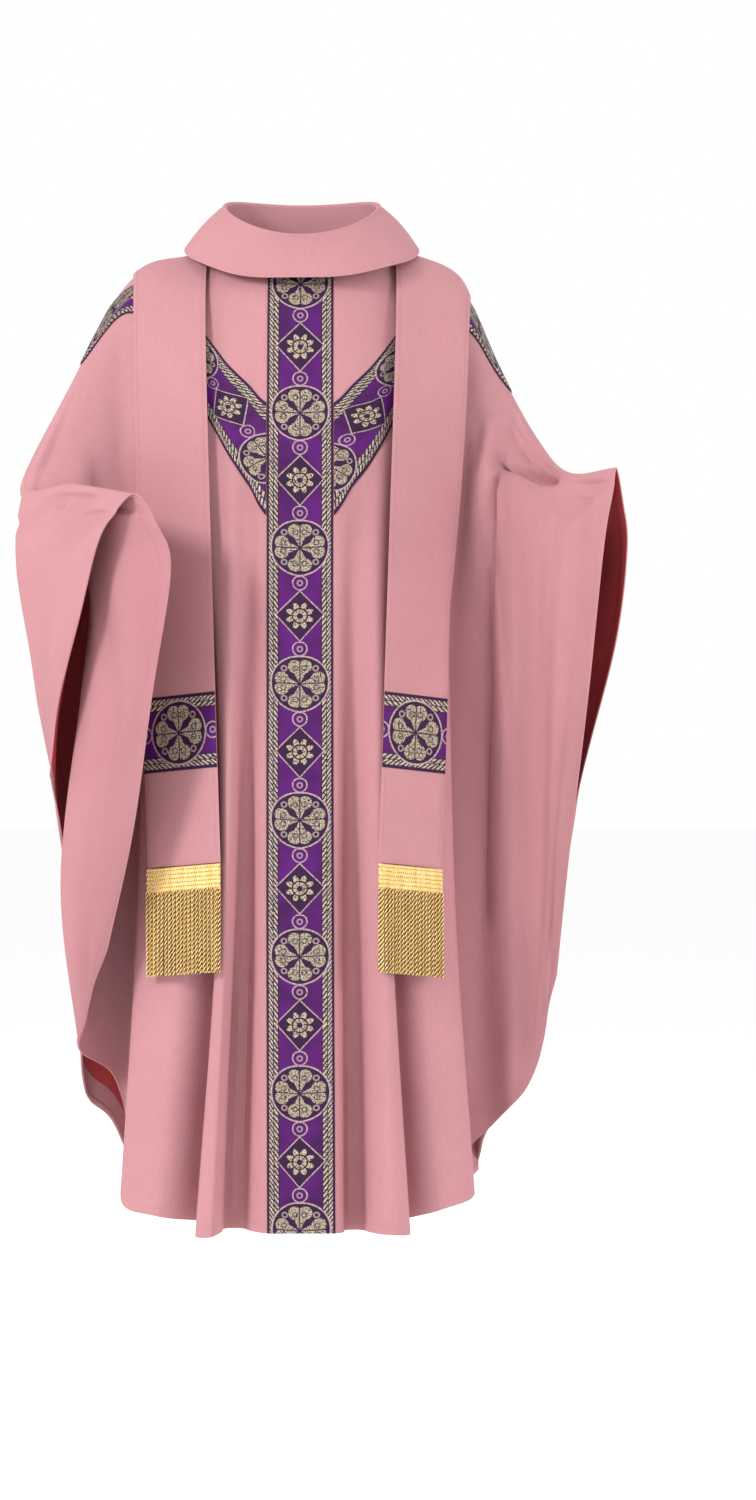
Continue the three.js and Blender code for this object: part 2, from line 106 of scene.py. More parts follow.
# Shader and shape nodes. A wire is one output, and sums on wires add Math nodes.
class Wire:
    def __init__(self, owner, socket):
        self.owner = owner
        self.socket = socket

    def sum(self, operation, *others, clamp=False):
        values = dict(enumerate(others))
        return self.owner.make("ShaderNodeMath", values, {"operation": operation, "use_clamp": clamp})

    def __add__(self, other):
        return self.sum("ADD", self, other)

    def __sub__(self, other):
        return self.sum("SUBTRACT", self, other)

    def __rsub__(self, other):
        return self.sum("SUBTRACT", other, self)

    def __mul__(self, other):
        return self.sum("MULTIPLY", self, other)

    def __truediv__(self, other):
        return self.sum("DIVIDE", self, other)

    def __abs__(self):
        return self.sum("ABSOLUTE", self)

    __radd__ = __add__
    __rmul__ = __mul__

    def sine(self):
        return self.sum("SINE", self)

    def most(self, other):
        return self.sum("MAXIMUM", self, other)

    def least(self, other):
        return self.sum("MINIMUM", self, other)

    def wrap(self, low, high):
        return self.sum("WRAP", self, high, low)

    def under(self, limit, soft):  # 1 below the limit and 0 above it, with a soft step
        return self.sum("MULTIPLY_ADD", self, -1 / soft, limit / soft + 0.5, clamp=True)

    def over(self, limit, soft):
        return self.sum("MULTIPLY_ADD", self, 1 / soft, 0.5 - limit / soft, clamp=True)

    def near(self, middle, half, soft):
        return abs(self - middle).under(half, soft)


def length(x, y):
    return x.sum("SQRT", x * x + y * y)


class Finish:
    def __init__(self, name):
        self.material = bpy.data.materials.new(name)
        self.material.use_nodes = True
        self.tree = self.material.node_tree
        self.tree.nodes.clear()

    def make(self, kind, inputs=None, settings=None, take=0):
        node = self.tree.nodes.new(kind)
        for key, value in (settings or {}).items():
            setattr(node, key, value)
        for key, value in (inputs or {}).items():
            if isinstance(value, Wire):
                self.tree.links.new(value.socket, node.inputs[key])
            else:
                node.inputs[key].default_value = value
        return Wire(self, node.outputs[take])

    def attribute(self, name, take):
        return self.make("ShaderNodeAttribute", None, {"attribute_name": name}, take)

    def parts(self, vector):  # its x and y
        return [self.make("ShaderNodeSeparateXYZ", {0: vector}, take=k) for k in (0, 1)]

    def vector(self, x=0.0, y=0.0, z=0.0):
        return self.make("ShaderNodeCombineXYZ", {0: x, 1: y, 2: z})

    def scaled(self, place, *scale):
        return self.make("ShaderNodeMapping", {0: place, 3: scale})

    def blend(self, share, first, second):
        return self.make("ShaderNodeMix", {0: share, 6: first, 7: second}, {"data_type": "RGBA"}, 2)

    def noise(self, place, scale, detail=2):
        return self.make("ShaderNodeTexNoise", {"Vector": place, "Scale": scale, "Detail": detail})

    def threads(self):  # metres across and along the cloth, as woven
        place = self.attribute("weave", 1)
        return place, *self.parts(place)

    def relief(self, height):
        return self.make("ShaderNodeBump", {"Height": height, "Strength": 1.0, "Distance": 1.0})

    def surface(self, inputs):
        shader = self.make("ShaderNodeBsdfPrincipled", inputs)
        end = self.tree.nodes.new("ShaderNodeOutputMaterial")
        self.tree.links.new(shader.socket, end.inputs["Surface"])
        return self.material


def tone(red, green, blue):  # a colour as seen, turned to light values
    def lit(value):
        share = value / 255
        return share / 12.92 if share <= 0.04045 else ((share + 0.055) / 1.055) ** 2.4
    return (lit(red), lit(green), lit(blue), 1)


roseCloth = {
    "base": tone(179, 126, 131),
    "pale": tone(187, 134, 138),
    "deep": tone(158, 103, 109),
    "inside": tone(174, 118, 122),
    # The two lining tones are painted shade: the back's inside is the same rose cloth, painted deep red
    # for the shadow inside the garment.
    "lining": tone(168, 56, 58),
    "paintedShadeDeep": tone(146, 38, 42),
    "pitch": 0.0009,  # one thread
    "threadHeight": 0.00007,
    "crumple": 0.0011,
}


def clothFinish(name, *tones):
    base, pale, deep = (roseCloth[key] for key in tones)
    finish = Finish(name)
    place, across, along = finish.threads()
    turns = 2 * math.pi / roseCloth["pitch"]
    warp = (across * turns).sine()
    twill = ((across + along) * (turns / 2)).sine()
    slub = finish.noise(finish.scaled(place, 1.0, 0.12, 1.0), 420, 3)
    cloud = finish.noise(place, 7, 3)
    crumple = finish.noise(finish.scaled(place, 1.0, 0.35, 1.0), 13, 4)
    body = finish.blend(cloud.over(0.5, 0.5), base, pale)
    body = finish.blend(slub.under(0.45, 0.3) * 0.16, body, deep)
    body = finish.blend(warp.under(-0.2, 1.2) * 0.16, body, deep)
    height = (warp + twill) * roseCloth["threadHeight"] + crumple * roseCloth["crumple"]
    height = height + slub * (roseCloth["threadHeight"] * 2)
    return finish.surface({
        "Base Color": body,
        "Roughness": 0.74 + 0.12 * slub,
        "Normal": finish.relief(height),
        "Sheen Weight": 0.22,
        "Sheen Roughness": 0.45,
        "Sheen Tint": roseCloth["pale"],
        "Specular IOR Level": 0.3,
    })


brocadeCloth = {
    "violet": tone(84, 8, 104),
    "violetDark": tone(56, 4, 68),
    "ground": tone(36, 10, 42),
    "edge": tone(48, 14, 52),
    "gold": tone(214, 202, 172),
    "goldDark": tone(104, 86, 62),
    "lilac": tone(182, 158, 152),
    "repeat": 0.170,
    "halfWidth": 0.041,
    "soft": 0.0006,  # how wide the edge of each shape is
    "ring": (0.0345, 0.0010),  # radius, and half the width of its line
    "lobe": (0.0215, 0.0060, 0.0082),  # two distances from the middle, and radius
    "lobeEye": (0.0195, 0.0055, 0.0030, 0.0007),
    "bud": (0.0186, 0.0030, 0.0009),
    "loop": (0.0438, 0.0086, 0.0008),
    "seed": (0.0030, 0.0009),
    "lozengeHalf": (0.0285, 0.0315),
    "floret": (0.0085, 0.0085, 0.0035),  # middle radius, how far its leaves swing, and its hole
    "floretRing": (0.0090, 0.0009),
    "border": 0.0252,
    "innerLeaf": (0.0, 0.0036, 0.0021, 0.0286, 0.0025),  # shift, half step, half length, row, half width
    "outerLeaf": (0.0030, 0.0030, 0.0018, 0.0348, 0.0027),
    "selvedge": 0.0388,
    "threadPitch": 0.0008,
}


# One repeat: a ringed flower of four heart petals, a loop, a lozenge with a floret, a loop
def brocadeFinish(name):
    look = brocadeCloth
    finish = Finish(name)
    place, across, along = finish.threads()
    x = abs(across)
    y = abs(along.wrap(-look["repeat"] / 2, look["repeat"] / 2))
    far = look["repeat"] / 2 - y
    soft = look["soft"]
    reach = length(x, y)
    ring = reach.near(*look["ring"], soft)
    disc = reach.under(look["ring"][0], soft)
    px = x.most(y)
    q = x.least(y)
    lobeOut, lobeUp, lobeRadius = look["lobe"]
    lobe = length(px - lobeOut, q - lobeUp).under(lobeRadius, soft)
    stem = (q - px * 0.52).under(0.0, soft) * px.under(lobeOut, soft) * px.over(0.0020, soft)
    eyeOut, eyeUp, eyeRadius, eyeLine = look["lobeEye"]
    eye = length(px - eyeOut, q - eyeUp).near(eyeRadius, eyeLine, soft)
    petals = lobe.most(stem) * (q.over(0.0007, soft) * (1 - 0.8 * eye))
    budOut, *budRing = look["bud"]
    bud = length(px - budOut, q - budOut).near(*budRing, soft)
    loopUp, *loopRing = look["loop"]
    fromLoop = length(x, y - loopUp)
    loop = fromLoop.near(*loopRing, soft)
    seed = fromLoop.near(*look["seed"], soft)
    wide, tall = look["lozengeHalf"]
    kite = x / wide + far / tall
    kiteLine = kite.near(1.0, 0.035, 0.02)
    kiteFill = kite.under(1.0, 0.02)
    leafTurn = abs((x.sum("ARCTAN2", far, x) * 4).sine())
    apart = length(x, far)
    floretSize, floretSwing, floretHole = look["floret"]
    floret = (apart - floretSize - leafTurn * floretSwing).under(0.0, soft)
    floret = floret * apart.over(floretHole, soft)
    floret = floret * (1 - apart.near(*look["floretRing"], soft)) * leafTurn.over(0.22, 0.1)
    inBorder = x.over(look["border"], soft)
    slant = along + x * 1.3
    rows = []
    for shift, halfStep, halfLength, row, halfRow in (look["innerLeaf"], look["outerLeaf"]):
        lengths = (slant + shift).wrap(0, halfStep * 2).near(halfStep, halfLength, soft)
        rows.append(lengths * x.near(row, halfRow, soft))
    outside = 1 - disc.most(kiteFill * 0.9)
    leaves = rows[0].most(rows[1]) * outside
    speck = finish.noise(place, 1100, 2)
    fray = finish.noise(place, 430, 2)
    broken = speck.over(0.44, 0.08)
    between = (1 - disc) * (1 - kiteFill)
    petals = petals * disc * broken * fray.over(0.41, 0.08)
    flower = petals.most(floret * kiteFill * fray.over(0.42, 0.1))
    lines = ring.most(kiteLine).most(loop * between) * (0.45 + 0.55 * fray.over(0.44, 0.1))
    small = (bud * disc).most(seed * between) * 0.6
    leaves = leaves * broken * fray.over(0.40, 0.1)
    ground = finish.blend(finish.noise(place, 24, 2).over(0.5, 0.4), look["violet"], look["violetDark"])
    inner = disc.most(kiteFill).most(inBorder)
    colour = finish.blend(inner * 0.85, ground, look["ground"])
    colour = finish.blend(small, colour, look["lilac"])
    colour = finish.blend(leaves * 0.95, colour, look["gold"])
    gilt = finish.blend(speck.over(0.5, 0.2), look["goldDark"], look["gold"])
    colour = finish.blend(flower, colour, gilt)
    colour = finish.blend(lines * 0.9, colour, look["lilac"])
    line = 0.0005
    selvedge = x.over(look["selvedge"], line).most(x.near(look["border"], line, line) * outside)
    colour = finish.blend(selvedge, colour, look["edge"])
    raised = flower.most(lines).most(small).most(leaves) * (1 - selvedge)
    turns = 2 * math.pi / look["threadPitch"]
    ribs = (along * turns).sine() * (across * turns).sine()
    height = raised * 0.00035 + ribs * 0.00005 + speck * raised * 0.00025
    return finish.surface({
        "Base Color": colour,
        "Metallic": raised * 0.3,
        "Roughness": 0.62 - raised * 0.16 + ribs * 0.05,
        "Normal": finish.relief(height),
        "Sheen Weight": 0.0,
        "Specular IOR Level": 0.22,
    })


goldYarn = {
    "eyeRow": 0.0052,
    "eyeStep": 0.0030,
    "light": tone(255, 226, 154),
    "base": tone(238, 192, 112),
    "dark": tone(128, 82, 32),
    "shadow": tone(100, 60, 20),
}


def yarnFinish(name, braided=False):
    finish = Finish(name)
    place = finish.make("ShaderNodeTexCoord", take=3)
    fine = finish.noise(finish.scaled(place, 1.0, 1.0, 0.5), 1400)
    shade = finish.noise(finish.scaled(place, 1.0, 1.0, 0.04), 330)
    colour = finish.blend(shade.over(0.48, 0.35), goldYarn["base"], goldYarn["light"])
    colour = finish.blend(fine.under(0.42, 0.16) * 0.55, colour, goldYarn["dark"])
    if braided:  # painted shade in the small eyes between the crossed yarns
        across, along = finish.threads()[1:]
        rowTurn = math.pi / goldYarn["eyeRow"]
        rows = (along * rowTurn).sine()
        steps = (across * (math.pi / goldYarn["eyeStep"]) + along * (rowTurn / 2)).sine()
        eyes = (abs(rows) * abs(steps)).under(0.16, 0.12)
        colour = finish.blend(eyes * 0.75, colour, goldYarn["dark"])
    else:  # painted shade where the two plies of a strand meet, at its sides and on the row behind
        strandShade = finish.attribute("strandShade", 2)
        colour = finish.blend(strandShade.under(0.66, 0.3), colour, goldYarn["shadow"])
    return finish.surface({
        "Base Color": colour,
        "Metallic": 0.25,
        "Roughness": 0.34 + 0.2 * fine,
        "Normal": finish.relief(fine * 0.0003),
        "Sheen Weight": 0.15,
        "Specular IOR Level": 0.5,
    })


# The hanging lines of the cloth in millimetres, each from the neck or shoulder down to the hem.
# A line is six points, and each point is x, y and z.
frontLeftLines = [
    (0,-88,-12, 0,-122,-80, 0,-150,-250, 0,-163,-510, 0,-173,-850, 0,-185,-1226),
    (43,-82,-10, 43,-119,-78, 43,-148,-250, 43,-161,-510, 44,-171,-850, 46,-183,-1226),
    (72,-69,-4, 68,-110,-75, 66,-143,-250, 64,-150,-510, 64,-150,-850, 66,-152,-1226),
    (92,-54,2, 92,-99,-72, 92,-140,-250, 94,-168,-510, 100,-186,-850, 108,-202,-1226),
    (104,-38,6, 110,-86,-70, 112,-131,-250, 112,-158,-510, 117,-170,-850, 142,-180,-1227),
    (114,-8,8, 130,-76,-68, 130,-122,-250, 120,-143,-510, 112,-140,-850, 128,-140,-1215),
    (150,-8,2, 154,-66,-66, 152,-110,-250, 150,-134,-510, 152,-143,-850, 178,-150,-1200),
    (192,-6,-16, 186,-52,-70, 178,-92,-258, 190,-110,-510, 199,-112,-850, 222,-118,-1184),
    (214,-4,-48, 214,-38,-100, 206,-56,-262, 188,-62,-510, 186,-55,-850, 200,-50,-1150),
    (255,-6,-141, 250,-46,-185, 236,-84,-290, 234,-75,-510, 230,-62,-850, 246,-60,-1096),
    (300,-28,-226, 292,-78,-262, 284,-118,-330, 290,-105,-540, 290,-90,-830, 284,-84,-1052),
    (338,-112,-276, 333,-146,-300, 331,-168,-370, 324,-152,-570, 313,-120,-790, 307,-98,-985),
    (392,-222,-276, 386,-222,-310, 376,-212,-375, 358,-190,-555, 338,-140,-745, 323,-106,-908),
]

frontRightLines = [
    (0,-88,-12, 0,-122,-80, 0,-150,-250, 0,-163,-510, 0,-173,-850, 0,-185,-1226),
    (-43,-82,-10, -43,-119,-78, -43,-148,-250, -43,-161,-510, -43,-171,-850, -42,-183,-1226),
    (-72,-69,-4, -68,-110,-75, -65,-143,-250, -66,-150,-510, -68,-151,-850, -80,-154,-1224),
    (-92,-54,2, -92,-99,-72, -90,-140,-250, -86,-166,-510, -90,-185,-850, -106,-200,-1229),
    (-104,-38,6, -110,-86,-70, -112,-131,-250, -106,-158,-510, -105,-168,-850, -131,-178,-1230),
    (-114,-8,8, -130,-76,-68, -130,-124,-250, -116,-146,-510, -99,-141,-850, -118,-138,-1218),
    (-150,-8,2, -155,-66,-66, -152,-116,-250, -152,-140,-510, -150,-146,-850, -180,-150,-1208),
    (-196,-6,-8, -196,-52,-62, -192,-95,-255, -196,-106,-510, -208,-108,-850, -230,-112,-1192),
    (-236,-4,-44, -234,-40,-96, -226,-60,-250, -212,-60,-510, -206,-52,-850, -222,-44,-1120),
    (-292,-8,-150, -282,-42,-200, -256,-66,-320, -240,-56,-560, -240,-46,-820, -238,-42,-1040),
    (-352,-34,-285, -318,-72,-305, -268,-98,-400, -272,-90,-560, -298,-76,-790, -276,-90,-1004),
    (-285,-150,-292, -262,-158,-335, -234,-166,-415, -224,-170,-570, -250,-130,-775, -263,-114,-958),
    (-200,-255,-310, -172,-256,-350, -157,-250,-405, -180,-235,-555, -206,-194,-725, -240,-148,-872),
]

backLeftLines = [
    (0,72,28, 0,118,-45, 0,150,-220, 0,158,-510, 0,170,-850, 0,184,-1222),
    (43,66,26, 43,114,-45, 43,149,-220, 43,157,-510, 43,169,-850, 44,183,-1222),
    (72,53,22, 74,104,-44, 74,146,-220, 73,148,-510, 73,148,-850, 76,150,-1222),
    (92,38,18, 98,92,-44, 102,139,-220, 106,160,-510, 112,178,-850, 122,198,-1218),
    (104,22,14, 120,78,-46, 128,128,-220, 136,146,-510, 146,150,-850, 160,152,-1208),
    (114,-8,8, 140,62,-50, 152,116,-222, 166,140,-512, 180,134,-850, 196,126,-1194),
    (150,-8,2, 168,46,-58, 178,104,-226, 195,142,-515, 212,156,-850, 230,160,-1172),
    (192,-6,-16, 200,34,-76, 206,90,-235, 222,118,-518, 232,118,-850, 238,112,-1128),
    (214,-4,-48, 222,28,-110, 236,78,-262, 252,100,-525, 262,98,-845, 258,94,-1092),
    (255,-6,-141, 262,22,-190, 276,58,-300, 292,76,-545, 294,72,-835, 276,66,-1050),
    (300,-28,-226, 312,0,-270, 325,28,-355, 335,40,-560, 320,46,-805, 294,48,-990),
    (338,-112,-276, 356,-88,-320, 372,-56,-390, 370,-14,-555, 346,16,-750, 312,30,-905),
    (392,-222,-276, 402,-200,-318, 409,-165,-375, 398,-100,-490, 362,-42,-640, 328,2,-790),
]


def mirrored(lines, hems):  # the same lines on the other side, each with its own hem height
    rows = []
    for line, hem in zip(lines, hems):
        rows.append((*(-v if k % 3 == 0 else v for k, v in enumerate(line[:-1])), hem))
    return rows


backRightLines = mirrored(backLeftLines, (-1222, -1222, -1222, -1216, -1204, -1186)) + [
    (-150,-8,2, -168,46,-58, -180,104,-226, -196,142,-515, -214,150,-850, -232,146,-1158),
    (-196,-6,-8, -206,34,-70, -214,92,-235, -230,120,-518, -246,112,-850, -256,108,-1104),
    (-236,-4,-44, -244,28,-100, -258,80,-256, -270,98,-525, -272,88,-835, -278,84,-1080),
    (-292,-8,-150, -304,18,-205, -320,48,-330, -318,64,-560, -300,62,-820, -286,60,-1048),
    (-352,-34,-285, -370,-22,-325, -374,-8,-395, -348,6,-545, -316,20,-715, -292,40,-945),
    (-285,-150,-292, -304,-134,-335, -318,-112,-400, -326,-72,-525, -322,-38,-645, -303,-6,-790),
    (-200,-255,-310, -230,-240,-336, -250,-224,-372, -273,-185,-454, -304,-128,-562, -318,-84,-655),
]


# Shape nodes, built the same way as a finish, with named sizes
class Recipe(Finish):
    def __init__(self, name):
        self.tree = bpy.data.node_groups.new(name, "GeometryNodeTree")
        self.tree.interface.new_socket("Shape", in_out="INPUT", socket_type="NodeSocketGeometry")
        self.tree.interface.new_socket("Shape", in_out="OUTPUT", socket_type="NodeSocketGeometry")
        self.start = self.tree.nodes.new("NodeGroupInput")
        self.values = {}
        self.shape = Wire(self, self.start.outputs[0])

    def size(self, name, value, kind="NodeSocketFloat"):
        socket = self.tree.interface.new_socket(name, in_out="INPUT", socket_type=kind)
        self.values[socket.identifier] = value
        return Wire(self, self.start.outputs[name])

    def add(self, kind, inputs=None, settings=None):
        return self.make("GeometryNode" + kind, inputs, settings)

    # Runs the recipe on a piece's mesh and keeps the result as a plain mesh
    def grow(self, piece, result, material):
        real = self.add("RealizeInstances", {0: result})
        done = self.add("SetMaterial", {"Geometry": real, "Material": material})
        end = self.tree.nodes.new("NodeGroupOutput")
        self.tree.links.new(done.socket, end.inputs[0])
        step = piece.modifiers.new("grow", "NODES")
        step.node_group = self.tree
        for identifier, value in self.values.items():
            step[identifier] = value
        return bake(piece)


def bake(piece):  # the evaluated mesh takes the place of the live modifiers
    shown = piece.evaluated_get(bpy.context.evaluated_depsgraph_get())
    made = bpy.data.meshes.new_from_object(shown, depsgraph=bpy.context.evaluated_depsgraph_get())
    piece.modifiers.clear()
    made.name = piece.name
    piece.data = made
    return piece


def addObject(name, mesh):
    piece = bpy.data.objects.new(name, mesh)
    bpy.context.scene.collection.objects.link(piece)
    return piece


def smooth(share):
    share = np.clip(share, 0, 1)
    return share * share * (3 - 2 * share)


def wave(turn):  # between 0 and 1
    return 0.5 + 0.5 * np.sin(turn)


def mix(first, second, share):
    return first + (second - first) * share


def unit(vectors):
    return vectors / np.maximum(np.linalg.norm(vectors, axis=-1, keepdims=True), 1e-9)


# A smooth curve through rows of points. where has one place per column of points.
def throughPoints(points, where):
    count = len(points)
    padded = np.concatenate([[2 * points[0] - points[1]], points, [2 * points[-1] - points[-2]]])
    where = np.clip(where, 0, count - 1)
    knot = np.clip(np.floor(where).astype(int), 0, count - 2)
    share = (where - knot)[:, None]
    if points.ndim == 3:
        lane = np.arange(points.shape[1])
        a, b, c, d = (padded[knot + k, lane] for k in range(4))
    else:
        a, b, c, d = (padded[knot + k] for k in range(4))
    leave, arrive = (c - a) / 2, (d - b) / 2
    cube = (2 * b - 2 * c + leave + arrive) * share ** 3
    return cube + (3 * c - 3 * b - 2 * leave - arrive) * share ** 2 + leave * share + b


# Drag lines pulled into the cloth at the arms: a path over (s, t), how deep in metres, how wide in lines
creases = {
    "frontLeft": [
        (((9.9, 0.7), (9.15, 1.9), (8.95, 3.2), (8.9, 4.6)), 0.016, 0.38),
        (((10.5, 0.8), (9.6, 1.35), (8.95, 1.95), (8.9, 2.9), (9.0, 3.9)), 0.027, 0.17),
        (((10.6, 0.6), (10.0, 1.0), (9.5, 1.7)), 0.009, 0.22),
        (((11.5, 0.7), (10.6, 1.8), (10.0, 3.6), (9.9, 4.6)), 0.008, 0.30),
        (((11.3, 1.2), (11.1, 2.6), (10.9, 4.2)), 0.005, 0.22),
        (((9.7, 0.5), (8.9, 1.2), (8.5, 1.7)), 0.008, 0.25),
        (((11.3, 1.1), (10.8, 1.5), (10.2, 2.2), (9.8, 3.4)), 0.012, 0.26),
    ],
    "frontRight": [
        (((9.6, 0.5), (9.1, 1.3), (8.8, 2.2), (8.8, 3.6)), 0.012, 0.32),
        (((11.6, 0.8), (11.3, 2.2), (11.2, 4.0)), 0.006, 0.25),
        (((10.6, 0.8), (10.5, 2.4), (10.6, 4.4)), 0.006, 0.25),
    ],
    "backRight": [
        (((11.3, 0.5), (10.4, 1.0), (9.6, 1.3), (9.0, 1.4)), 0.009, 0.26),
        (((11.6, 0.9), (10.9, 1.9), (10.5, 3.4), (10.4, 4.6)), 0.008, 0.28),
        (((10.0, 0.5), (9.8, 2.0), (9.9, 4.2)), 0.007, 0.30),
    ],
    "backLeft": [
        (((11.4, 0.7), (10.6, 1.8), (10.0, 3.2), (9.8, 4.6)), 0.009, 0.30),
        (((9.9, 0.7), (9.2, 2.0), (9.0, 4.2)), 0.008, 0.30),
    ],
}


# Folds that deepen towards the hem: the line they follow, how deep in metres, how wide in lines
hemFolds = {
    "frontLeft": [(2.0, 0.012, 0.28), (5.0, 0.012, 0.42)],
    "frontRight": [(2.0, 0.016, 0.28), (5.0, 0.014, 0.42)],
}


def distanceTo(path, s, t):
    best = np.full(np.shape(s), 9.0)
    for (s0, t0), (s1, t1) in zip(path[:-1], path[1:]):
        ds, dt = s1 - s0, t1 - t0
        share = np.clip(((s - s0) * ds + (t - t0) * dt) / (ds * ds + dt * dt), 0, 1)
        best = np.minimum(best, np.hypot(s - s0 - share * ds, t - t0 - share * dt))
    past = smooth((path[0][1] - t) / 0.4)  # fades out above its start
    return best + past


def together(first, second):
    return np.broadcast_arrays(np.asarray(first, float), np.asarray(second, float))


def lastTrue(test, low, high):  # halves the way to the last place where the test holds
    for _ in range(24):
        middle = (low + high) / 2
        holds = test(middle)
        low, high = np.where(holds, middle, low), np.where(holds, high, middle)
    return low


# The cloth surface: s runs over the hanging lines from the centre out, t runs down them
class Drape:
    def __init__(self, name, lines, behind, outward):
        self.name = name
        self.outward = outward
        self.side = math.copysign(1, lines[-1][0])
        own, other = (np.array(rows, float).reshape(len(rows), -1, 3) / 1000 for rows in (lines, behind))
        self.columns = []
        for i, line in enumerate(own):
            joined = line if i < clothCut["neckLine"] else np.concatenate([other[i, :0:-1], line])
            self.columns.append((joined, len(joined) - len(line)))

    def plain(self, s, t):
        rows = np.array([throughPoints(points, t + start) for points, start in self.columns])
        return throughPoints(rows, s)

    def outwards(self, s, t):
        step = 0.02
        across = self.plain(s + step, t) - self.plain(s - step, t)
        down = self.plain(s, t + step) - self.plain(s, np.maximum(t - step, 0))
        return unit(np.cross(across, down) * self.side * self.outward)

    # Soft folds between the main ones. They only sink, so the trims still lie on top.
    def sink(self, s, t):
        fade = smooth((t - 0.6) / 1.5)
        body = smooth((s - 1.2) / 1.2) * smooth((9.2 - s) / 1.4)
        sleeve = smooth((s - 8.6) / 1.6) * smooth((12.05 - s) / 0.6)
        crease = 0
        for path, depth, width in creases[self.name]:
            crease = np.maximum(crease, depth * np.exp(-(distanceTo(path, s, t) / width) ** 2))
        for line, depth, width in hemFolds.get(self.name, ()):
            grown = smooth((t - 2.5) / 2.3)  # from below the chest to the hem
            crease = crease + depth * grown * np.exp(-((s - line) / width) ** 2)
        slant = s * 2.6 + t * 0.8 * self.side + 0.8 * self.outward
        small = wave(slant + 0.6 * np.sin(t * 1.7 + s))
        broad = wave(s * 2.3 - t * 2.1 + 1.1 * self.outward)
        drag = wave(s * 3.1 + t * 3.4 + 2.0 * self.side)
        folds = clothCut["softFold"]
        return -fade * (body * small * folds + sleeve * (broad * 1.3 + drag * 0.5) * folds) - crease

    def place(self, s, t):
        s, t = together(s, t)
        shape = s.shape
        s, t = s.ravel(), t.ravel()
        facing = self.outwards(s, t)
        points = self.plain(s, t) + facing * self.sink(s, t)[:, None]
        return points.reshape(*shape, 3), facing.reshape(*shape, 3)

    def stationAt(self, s, height):
        s, height = together(s, height)
        def above(t):
            return self.plain(s.ravel(), t.ravel())[:, 2].reshape(s.shape) > height
        return lastTrue(above, np.zeros(s.shape), np.full(s.shape, 5.0))

    def lineAt(self, distance, t):
        distance, t = together(distance, t)
        def short(s):
            return np.abs(self.plain(s.ravel(), t.ravel())[:, 0]).reshape(t.shape) < distance
        return lastTrue(short, np.full(t.shape, 4.0), np.full(t.shape, 9.0))


clothCut = {
    "neckLine": 5,  # the first line that starts on the shoulder
    "lines": 12,
    "stations": 5,
    "facingStation": 4.82,
    "softFold": 0.0045,
    "thickness": 0.0010,
    "hemThickness": 0.0024,
    "columnsPerLine": 9,
    "rowsPerStation": 22,
    "measuredRow": 30,  # the width of the cloth is measured along this row
}
drapes = {
    "left": (Drape("frontLeft", frontLeftLines, backLeftLines, -1),
             Drape("backLeft", backLeftLines, frontLeftLines, 1)),
    "right": (Drape("frontRight", frontRightLines, backRightLines, -1),
              Drape("backRight", backRightLines, frontRightLines, 1)),
}


def rideSleeve(piece, side):
    "sleeve_" + side
    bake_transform(piece)


def rideStole(piece, side):  # only bakes its placement into the mesh
    "stole_" + side
    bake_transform(piece)


# A closed sheet from one layer of points: both faces, and a rim wherever the layer ends
def closedSheet(name, points, facing, faces, weave, bottom, top, materials, innerSlots=0):
    used, faces = np.unique(faces, return_inverse=True)
    faces = faces.reshape(-1, 4)
    bottom, top = (np.broadcast_to(value, len(points))[used] for value in (bottom, top))
    points, facing, weave = points[used], facing[used], weave[used]
    corner = points[faces]
    normal = np.cross(corner[:, 2] - corner[:, 0], corner[:, 3] - corner[:, 1])
    if (normal * facing[faces[:, 0]]).sum() < 0:
        faces = faces[:, ::-1]
    count = len(points)
    outer = points + facing * top[:, None]
    inner = points + facing * bottom[:, None]
    sides = np.concatenate([faces[:, [k, (k + 1) % 4]] for k in range(4)])
    keys = sides[:, 0].astype(np.int64) * count + sides[:, 1]
    back = sides[:, 1].astype(np.int64) * count + sides[:, 0]
    loose = sides[~np.isin(keys, back)]
    a, b = loose.T
    rim = np.stack([b, a, a + count, b + count], 1)
    everything = np.concatenate([faces, faces[:, ::-1] + count, rim])
    mesh = bpy.data.meshes.new(name)
    mesh.from_pydata(np.concatenate([outer, inner]).tolist(), [], everything.tolist())
    threads = mesh.attributes.new("weave", "FLOAT_VECTOR", "POINT")
    threads.data.foreach_set("vector", np.concatenate([weave, weave]).astype(np.float32).ravel())
    for material in materials:
        mesh.materials.append(material)
    slots = np.zeros(len(everything), np.int32)
    slots[len(faces):2 * len(faces)] = innerSlots
    mesh.polygons.foreach_set("material_index", slots)
    mesh.polygons.foreach_set("use_smooth", np.ones(len(everything), bool))
    mesh.update()
    mesh.set_sharp_from_angle(angle=math.radians(50))
    area = np.linalg.norm(normal, axis=1).sum() / 2
    print(f"{name}: {len(everything)} faces, cloth {area:.3f} m2")
    return addObject(name, mesh)


def quads(index):  # four corners for each cell of a grid of point numbers
    corners = [index[:-1, :-1], index[1:, :-1], index[1:, 1:], index[:-1, 1:]]
    return np.stack(corners, -1).reshape(-1, 4)


def gridFaces(rows, columns):
    return quads(np.arange(rows * columns).reshape(rows, columns))


# A plain rectangular sheet laid on a grid of points
def gridSheet(name, points, facing, weave, bottom, top, finish):
    grid = points.shape[:2]
    threads = np.zeros((*grid, 3))
    threads[..., 0], threads[..., 1] = weave
    thick = [np.broadcast_to(value, grid).ravel() for value in (bottom, top)]
    return closedSheet(name, points.reshape(-1, 3), facing.reshape(-1, 3), gridFaces(*grid),
                       threads.reshape(-1, 3), *thick, [finishes[finish]])


def spread(first, last, count, hem=0.0, turn=()):  # even steps, with closer ones at a turned hem
    values = np.linspace(first, last, count)
    if hem:
        values = values[values < last - hem * 1.25]
        values = np.concatenate([values, last - hem * np.array(turn)])
    return values


